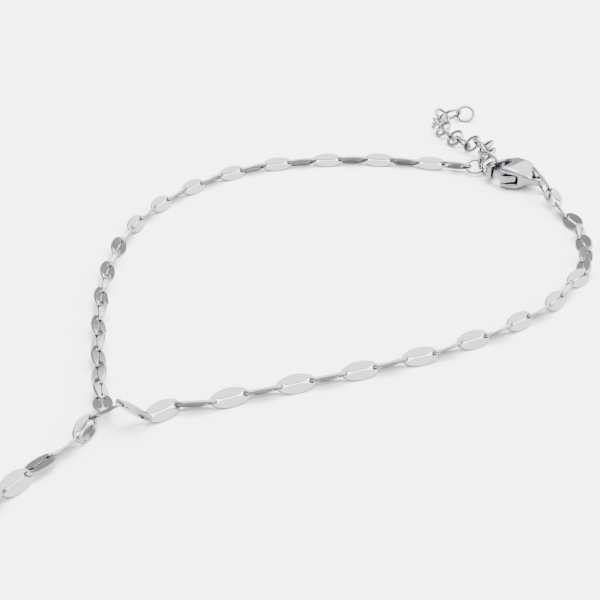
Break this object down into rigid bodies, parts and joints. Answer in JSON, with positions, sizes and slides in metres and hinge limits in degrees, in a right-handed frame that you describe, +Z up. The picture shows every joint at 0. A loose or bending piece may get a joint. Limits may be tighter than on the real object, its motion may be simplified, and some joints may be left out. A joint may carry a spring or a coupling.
{
  "type": "hand chain",
  "caption": "Hand chain with a plain finger ring: a wrist loop of pressed oval links with a lobster clasp and short extender, and a strand to the ring.",
  "frame": {"origin": "on the table, under the middle of the part's box", "axes": "+Z up from the table, +Y from the finger ring towards the wrist loop's far side, +X to the right as the picture shows it"},
  "size_m": [0.0706, 0.1746, 0.0038],
  "materials": {
    "chain": "polished",
    "clasp": "polished",
    "ring": "polished"
  },
  "bodies": {
    "hand_chain": {"clasp_body": "clasp", "clasp_ring": "ring", "end_ring": "ring", "clasp_jump_ring": "ring", "left_strand": "chain", "right_strand": "chain", "finger_strand": "chain", "finger_ring": "ring", "extender_chain": "chain"},
    "lever": {"clasp_lever": "clasp"}
  },
  "joints": [
    {"name": "clasp_lever_hinge", "type": "hinge", "parent": "hand_chain", "child": "lever", "pos_m": [0.02899, 0.06125, 0.0014], "axis": [0, 0, -1], "range_deg": [0, 14], "stiffness_Nm_per_rad": 0.01}
  ]
}
